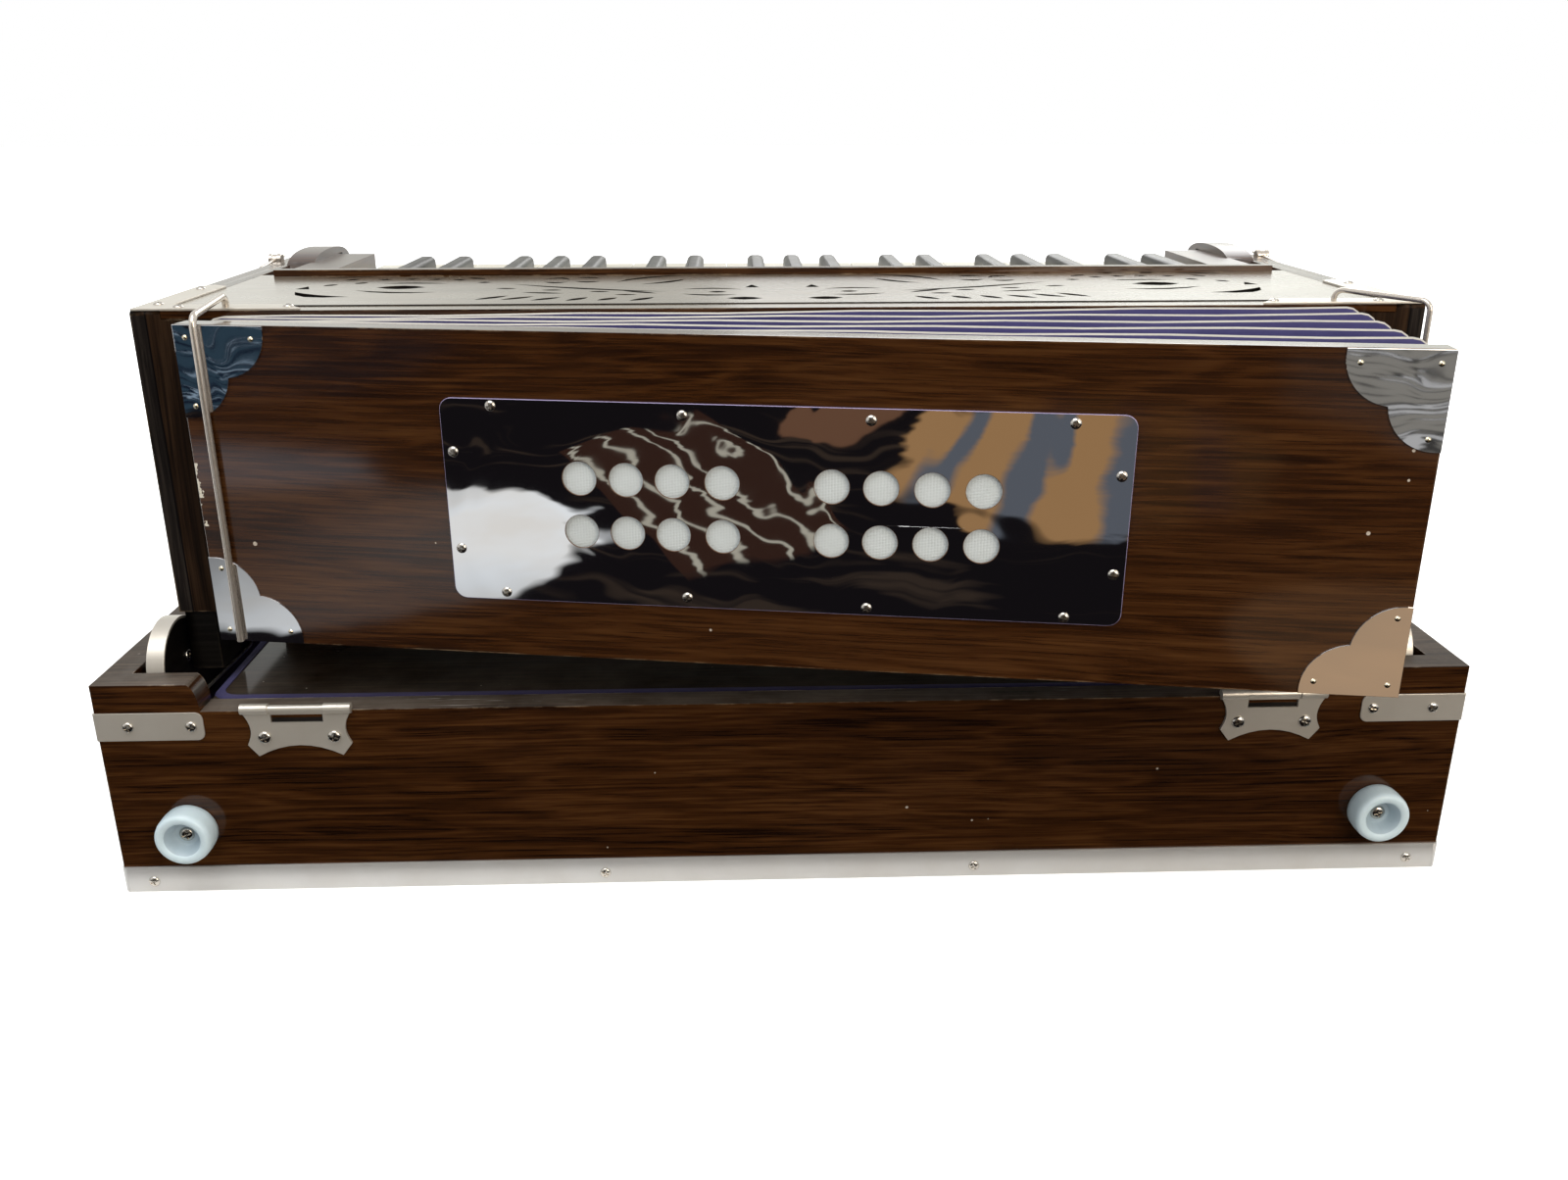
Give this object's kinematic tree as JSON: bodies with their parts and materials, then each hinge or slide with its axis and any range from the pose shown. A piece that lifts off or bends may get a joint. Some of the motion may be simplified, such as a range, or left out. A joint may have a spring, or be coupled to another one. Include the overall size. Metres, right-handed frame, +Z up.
{
  "type": "indian harmonium",
  "caption": "Folding free-reed keyboard instrument: a body with keys and a pierced top stands raised in a low tray, with a swinging hand bellows at the back",
  "frame": {"origin": "centre of the tray's underside", "axes": "+X along the keyboard, +Y towards the player, -Y the bellows side, +Z up"},
  "size_m": [0.7274, 0.46, 0.3161],
  "materials": {
    "lacquered_wood": "gloss lacquer over dark rosewood",
    "top_board": "gloss lacquer",
    "dusty_board": "matt, dusty",
    "bare_wood": "bare, sanded",
    "white_key": "polished white facing",
    "black_key": "polished black",
    "mirror_steel": "mirror polish",
    "satin_steel": "satin",
    "white_nylon": "satin, slightly translucent",
    "indigo_cloth": "woven, matt"
  },
  "bodies": {
    "case": {"tray": "lacquered_wood", "tray_foot_strip": "satin_steel", "lid_hinge_left": "satin_steel", "lid_hinge_right": "satin_steel", "back_buffer_left": "white_nylon", "back_buffer_right": "white_nylon", "reservoir_bellows": "dusty_board", "body_case": "lacquered_wood", "fretwork_top": "top_board", "reed_board": "bare_wood", "balance_rail": "bare_wood", "bellows_cloth": "indigo_cloth"},
    "bellows_board": {"bellows_panel": "lacquered_wood", "valve_plate": "mirror_steel"},
    "latch_left": {"latch_rod_left": "satin_steel"},
    "latch_right": {"latch_rod_right": "satin_steel"},
    "lever_left": {"lift_lever_left": "satin_steel"},
    "lever_right": {"lift_lever_right": "satin_steel"},
    "key_white_01": {"key_white_01": "white_key"},
    "key_white_02": {"key_white_02": "white_key"},
    "key_white_03": {"key_white_03": "white_key"},
    "key_white_04": {"key_white_04": "white_key"},
    "key_white_05": {"key_white_05": "white_key"},
    "key_white_06": {"key_white_06": "white_key"},
    "key_white_07": {"key_white_07": "white_key"},
    "key_white_08": {"key_white_08": "white_key"},
    "key_white_09": {"key_white_09": "white_key"},
    "key_white_10": {"key_white_10": "white_key"},
    "key_white_11": {"key_white_11": "white_key"},
    "key_white_12": {"key_white_12": "white_key"},
    "key_white_13": {"key_white_13": "white_key"},
    "key_white_14": {"key_white_14": "white_key"},
    "key_white_15": {"key_white_15": "white_key"},
    "key_white_16": {"key_white_16": "white_key"},
    "key_white_17": {"key_white_17": "white_key"},
    "key_white_18": {"key_white_18": "white_key"},
    "key_white_19": {"key_white_19": "white_key"},
    "key_white_20": {"key_white_20": "white_key"},
    "key_white_21": {"key_white_21": "white_key"},
    "key_white_22": {"key_white_22": "white_key"},
    "key_white_23": {"key_white_23": "white_key"},
    "key_white_24": {"key_white_24": "white_key"},
    "key_white_25": {"key_white_25": "white_key"},
    "key_black_01": {"key_black_01": "black_key"},
    "key_black_02": {"key_black_02": "black_key"},
    "key_black_03": {"key_black_03": "black_key"},
    "key_black_04": {"key_black_04": "black_key"},
    "key_black_05": {"key_black_05": "black_key"},
    "key_black_06": {"key_black_06": "black_key"},
    "key_black_07": {"key_black_07": "black_key"},
    "key_black_08": {"key_black_08": "black_key"},
    "key_black_09": {"key_black_09": "black_key"},
    "key_black_10": {"key_black_10": "black_key"},
    "key_black_11": {"key_black_11": "black_key"},
    "key_black_12": {"key_black_12": "black_key"},
    "key_black_13": {"key_black_13": "black_key"},
    "key_black_14": {"key_black_14": "black_key"},
    "key_black_15": {"key_black_15": "black_key"},
    "key_black_16": {"key_black_16": "black_key"},
    "key_black_17": {"key_black_17": "black_key"}
  },
  "joints": [
    {"name": "bellows_swing", "type": "hinge", "parent": "case", "child": "bellows_board", "pos_m": [-0.28082, -0.18613, 0.2265], "axis": [0, 0, 1], "range_deg": [-4, 9.16], "stiffness_Nm_per_rad": 1.5, "deforming": ["bellows_cloth"]},
    {"name": "latch_left_swing", "type": "hinge", "parent": "case", "child": "latch_left", "pos_m": [-0.2835, -0.135, 0.3], "axis": [0, 0, -1], "range_deg": [0, 93]},
    {"name": "latch_right_swing", "type": "hinge", "parent": "case", "child": "latch_right", "pos_m": [0.2835, -0.135, 0.3], "axis": [0, 0, 1], "range_deg": [-39, 54]},
    {"name": "lift_lever_left_turn", "type": "hinge", "parent": "case", "child": "lever_left", "pos_m": [-0.3356, -0.142, 0.117], "axis": [1, 0, 0], "range_deg": [-35, 20]},
    {"name": "lift_lever_right_turn", "type": "hinge", "parent": "case", "child": "lever_right", "pos_m": [0.3356, -0.142, 0.117], "axis": [1, 0, 0], "range_deg": [-35, 20]},
    {"name": "key_white_01_press", "type": "hinge", "parent": "case", "child": "key_white_01", "pos_m": [0.2628, 0.005, 0.2808], "axis": [-1, 0, 0], "range_deg": [0, 3.6], "stiffness_Nm_per_rad": 0.2, "springref_deg": -25.78},
    {"name": "key_white_02_press", "type": "hinge", "parent": "case", "child": "key_white_02", "pos_m": [0.2409, 0.005, 0.2808], "axis": [-1, 0, 0], "range_deg": [0, 3.6], "stiffness_Nm_per_rad": 0.2, "springref_deg": -25.78},
    {"name": "key_white_03_press", "type": "hinge", "parent": "case", "child": "key_white_03", "pos_m": [0.219, 0.005, 0.2808], "axis": [-1, 0, 0], "range_deg": [0, 3.6], "stiffness_Nm_per_rad": 0.2, "springref_deg": -25.78},
    {"name": "key_white_04_press", "type": "hinge", "parent": "case", "child": "key_white_04", "pos_m": [0.1971, 0.005, 0.2808], "axis": [-1, 0, 0], "range_deg": [0, 3.6], "stiffness_Nm_per_rad": 0.2, "springref_deg": -25.78},
    {"name": "key_white_05_press", "type": "hinge", "parent": "case", "child": "key_white_05", "pos_m": [0.1752, 0.005, 0.2808], "axis": [-1, 0, 0], "range_deg": [0, 3.6], "stiffness_Nm_per_rad": 0.2, "springref_deg": -25.78},
    {"name": "key_white_06_press", "type": "hinge", "parent": "case", "child": "key_white_06", "pos_m": [0.1533, 0.005, 0.2808], "axis": [-1, 0, 0], "range_deg": [0, 3.6], "stiffness_Nm_per_rad": 0.2, "springref_deg": -25.78},
    {"name": "key_white_07_press", "type": "hinge", "parent": "case", "child": "key_white_07", "pos_m": [0.1314, 0.005, 0.2808], "axis": [-1, 0, 0], "range_deg": [0, 3.6], "stiffness_Nm_per_rad": 0.2, "springref_deg": -25.78},
    {"name": "key_white_08_press", "type": "hinge", "parent": "case", "child": "key_white_08", "pos_m": [0.1095, 0.005, 0.2808], "axis": [-1, 0, 0], "range_deg": [0, 3.6], "stiffness_Nm_per_rad": 0.2, "springref_deg": -25.78},
    {"name": "key_white_09_press", "type": "hinge", "parent": "case", "child": "key_white_09", "pos_m": [0.0876, 0.005, 0.2808], "axis": [-1, 0, 0], "range_deg": [0, 3.6], "stiffness_Nm_per_rad": 0.2, "springref_deg": -25.78},
    {"name": "key_white_10_press", "type": "hinge", "parent": "case", "child": "key_white_10", "pos_m": [0.0657, 0.005, 0.2808], "axis": [-1, 0, 0], "range_deg": [0, 3.6], "stiffness_Nm_per_rad": 0.2, "springref_deg": -25.78},
    {"name": "key_white_11_press", "type": "hinge", "parent": "case", "child": "key_white_11", "pos_m": [0.0438, 0.005, 0.2808], "axis": [-1, 0, 0], "range_deg": [0, 3.6], "stiffness_Nm_per_rad": 0.2, "springref_deg": -25.78},
    {"name": "key_white_12_press", "type": "hinge", "parent": "case", "child": "key_white_12", "pos_m": [0.0219, 0.005, 0.2808], "axis": [-1, 0, 0], "range_deg": [0, 3.6], "stiffness_Nm_per_rad": 0.2, "springref_deg": -25.78},
    {"name": "key_white_13_press", "type": "hinge", "parent": "case", "child": "key_white_13", "pos_m": [0, 0.005, 0.2808], "axis": [-1, 0, 0], "range_deg": [0, 3.6], "stiffness_Nm_per_rad": 0.2, "springref_deg": -25.78},
    {"name": "key_white_14_press", "type": "hinge", "parent": "case", "child": "key_white_14", "pos_m": [-0.0219, 0.005, 0.2808], "axis": [-1, 0, 0], "range_deg": [0, 3.6], "stiffness_Nm_per_rad": 0.2, "springref_deg": -25.78},
    {"name": "key_white_15_press", "type": "hinge", "parent": "case", "child": "key_white_15", "pos_m": [-0.0438, 0.005, 0.2808], "axis": [-1, 0, 0], "range_deg": [0, 3.6], "stiffness_Nm_per_rad": 0.2, "springref_deg": -25.78},
    {"name": "key_white_16_press", "type": "hinge", "parent": "case", "child": "key_white_16", "pos_m": [-0.0657, 0.005, 0.2808], "axis": [-1, 0, 0], "range_deg": [0, 3.6], "stiffness_Nm_per_rad": 0.2, "springref_deg": -25.78},
    {"name": "key_white_17_press", "type": "hinge", "parent": "case", "child": "key_white_17", "pos_m": [-0.0876, 0.005, 0.2808], "axis": [-1, 0, 0], "range_deg": [0, 3.6], "stiffness_Nm_per_rad": 0.2, "springref_deg": -25.78},
    {"name": "key_white_18_press", "type": "hinge", "parent": "case", "child": "key_white_18", "pos_m": [-0.1095, 0.005, 0.2808], "axis": [-1, 0, 0], "range_deg": [0, 3.6], "stiffness_Nm_per_rad": 0.2, "springref_deg": -25.78},
    {"name": "key_white_19_press", "type": "hinge", "parent": "case", "child": "key_white_19", "pos_m": [-0.1314, 0.005, 0.2808], "axis": [-1, 0, 0], "range_deg": [0, 3.6], "stiffness_Nm_per_rad": 0.2, "springref_deg": -25.78},
    {"name": "key_white_20_press", "type": "hinge", "parent": "case", "child": "key_white_20", "pos_m": [-0.1533, 0.005, 0.2808], "axis": [-1, 0, 0], "range_deg": [0, 3.6], "stiffness_Nm_per_rad": 0.2, "springref_deg": -25.78},
    {"name": "key_white_21_press", "type": "hinge", "parent": "case", "child": "key_white_21", "pos_m": [-0.1752, 0.005, 0.2808], "axis": [-1, 0, 0], "range_deg": [0, 3.6], "stiffness_Nm_per_rad": 0.2, "springref_deg": -25.78},
    {"name": "key_white_22_press", "type": "hinge", "parent": "case", "child": "key_white_22", "pos_m": [-0.1971, 0.005, 0.2808], "axis": [-1, 0, 0], "range_deg": [0, 3.6], "stiffness_Nm_per_rad": 0.2, "springref_deg": -25.78},
    {"name": "key_white_23_press", "type": "hinge", "parent": "case", "child": "key_white_23", "pos_m": [-0.219, 0.005, 0.2808], "axis": [-1, 0, 0], "range_deg": [0, 3.6], "stiffness_Nm_per_rad": 0.2, "springref_deg": -25.78},
    {"name": "key_white_24_press", "type": "hinge", "parent": "case", "child": "key_white_24", "pos_m": [-0.2409, 0.005, 0.2808], "axis": [-1, 0, 0], "range_deg": [0, 3.6], "stiffness_Nm_per_rad": 0.2, "springref_deg": -25.78},
    {"name": "key_white_25_press", "type": "hinge", "parent": "case", "child": "key_white_25", "pos_m": [-0.2628, 0.005, 0.2808], "axis": [-1, 0, 0], "range_deg": [0, 3.6], "stiffness_Nm_per_rad": 0.2, "springref_deg": -25.78},
    {"name": "key_black_01_press", "type": "hinge", "parent": "case", "child": "key_black_01", "pos_m": [0.25338, 0.005, 0.2808], "axis": [-1, 0, 0], "range_deg": [0, 3.6], "stiffness_Nm_per_rad": 0.2, "springref_deg": -25.78},
    {"name": "key_black_02_press", "type": "hinge", "parent": "case", "child": "key_black_02", "pos_m": [0.22842, 0.005, 0.2808], "axis": [-1, 0, 0], "range_deg": [0, 3.6], "stiffness_Nm_per_rad": 0.2, "springref_deg": -25.78},
    {"name": "key_black_03_press", "type": "hinge", "parent": "case", "child": "key_black_03", "pos_m": [0.18834, 0.005, 0.2808], "axis": [-1, 0, 0], "range_deg": [0, 3.6], "stiffness_Nm_per_rad": 0.2, "springref_deg": -25.78},
    {"name": "key_black_04_press", "type": "hinge", "parent": "case", "child": "key_black_04", "pos_m": [0.16425, 0.005, 0.2808], "axis": [-1, 0, 0], "range_deg": [0, 3.6], "stiffness_Nm_per_rad": 0.2, "springref_deg": -25.78},
    {"name": "key_black_05_press", "type": "hinge", "parent": "case", "child": "key_black_05", "pos_m": [0.14016, 0.005, 0.2808], "axis": [-1, 0, 0], "range_deg": [0, 3.6], "stiffness_Nm_per_rad": 0.2, "springref_deg": -25.78},
    {"name": "key_black_06_press", "type": "hinge", "parent": "case", "child": "key_black_06", "pos_m": [0.10008, 0.005, 0.2808], "axis": [-1, 0, 0], "range_deg": [0, 3.6], "stiffness_Nm_per_rad": 0.2, "springref_deg": -25.78},
    {"name": "key_black_07_press", "type": "hinge", "parent": "case", "child": "key_black_07", "pos_m": [0.07512, 0.005, 0.2808], "axis": [-1, 0, 0], "range_deg": [0, 3.6], "stiffness_Nm_per_rad": 0.2, "springref_deg": -25.78},
    {"name": "key_black_08_press", "type": "hinge", "parent": "case", "child": "key_black_08", "pos_m": [0.03504, 0.005, 0.2808], "axis": [-1, 0, 0], "range_deg": [0, 3.6], "stiffness_Nm_per_rad": 0.2, "springref_deg": -25.78},
    {"name": "key_black_09_press", "type": "hinge", "parent": "case", "child": "key_black_09", "pos_m": [0.01095, 0.005, 0.2808], "axis": [-1, 0, 0], "range_deg": [0, 3.6], "stiffness_Nm_per_rad": 0.2, "springref_deg": -25.78},
    {"name": "key_black_10_press", "type": "hinge", "parent": "case", "child": "key_black_10", "pos_m": [-0.01314, 0.005, 0.2808], "axis": [-1, 0, 0], "range_deg": [0, 3.6], "stiffness_Nm_per_rad": 0.2, "springref_deg": -25.78},
    {"name": "key_black_11_press", "type": "hinge", "parent": "case", "child": "key_black_11", "pos_m": [-0.05322, 0.005, 0.2808], "axis": [-1, 0, 0], "range_deg": [0, 3.6], "stiffness_Nm_per_rad": 0.2, "springref_deg": -25.78},
    {"name": "key_black_12_press", "type": "hinge", "parent": "case", "child": "key_black_12", "pos_m": [-0.07818, 0.005, 0.2808], "axis": [-1, 0, 0], "range_deg": [0, 3.6], "stiffness_Nm_per_rad": 0.2, "springref_deg": -25.78},
    {"name": "key_black_13_press", "type": "hinge", "parent": "case", "child": "key_black_13", "pos_m": [-0.11826, 0.005, 0.2808], "axis": [-1, 0, 0], "range_deg": [0, 3.6], "stiffness_Nm_per_rad": 0.2, "springref_deg": -25.78},
    {"name": "key_black_14_press", "type": "hinge", "parent": "case", "child": "key_black_14", "pos_m": [-0.14235, 0.005, 0.2808], "axis": [-1, 0, 0], "range_deg": [0, 3.6], "stiffness_Nm_per_rad": 0.2, "springref_deg": -25.78},
    {"name": "key_black_15_press", "type": "hinge", "parent": "case", "child": "key_black_15", "pos_m": [-0.16644, 0.005, 0.2808], "axis": [-1, 0, 0], "range_deg": [0, 3.6], "stiffness_Nm_per_rad": 0.2, "springref_deg": -25.78},
    {"name": "key_black_16_press", "type": "hinge", "parent": "case", "child": "key_black_16", "pos_m": [-0.20652, 0.005, 0.2808], "axis": [-1, 0, 0], "range_deg": [0, 3.6], "stiffness_Nm_per_rad": 0.2, "springref_deg": -25.78},
    {"name": "key_black_17_press", "type": "hinge", "parent": "case", "child": "key_black_17", "pos_m": [-0.23148, 0.005, 0.2808], "axis": [-1, 0, 0], "range_deg": [0, 3.6], "stiffness_Nm_per_rad": 0.2, "springref_deg": -25.78}
  ]
}
